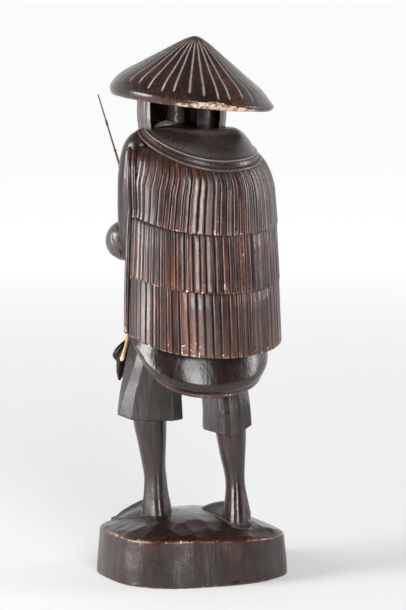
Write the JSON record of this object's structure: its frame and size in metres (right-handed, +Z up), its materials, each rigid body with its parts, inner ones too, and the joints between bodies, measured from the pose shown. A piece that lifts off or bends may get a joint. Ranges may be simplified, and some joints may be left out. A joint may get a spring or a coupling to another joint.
{
  "type": "carved wooden fisherman figure",
  "caption": "Standing fisherman in a tiered reed cape and a wide conical hat, carved with its mound base from one block of dark wood, holding a loose slender rod.",
  "frame": {"origin": "middle of the base's flat underside", "axes": "+Z up, -Y the way the figure faces, +X the figure's own left side"},
  "size_m": [0.133, 0.1287, 0.3998],
  "materials": {
    "carved_wood": "dark brown stained hardwood, waxed and polished by handling, worn pale on its edges",
    "bamboo": "thin natural cane, darker towards the tip, dull sheen"
  },
  "bodies": {
    "root": {"carved_figure": "carved_wood", "fishing_rod": "bamboo"}
  },
  "joints": []
}
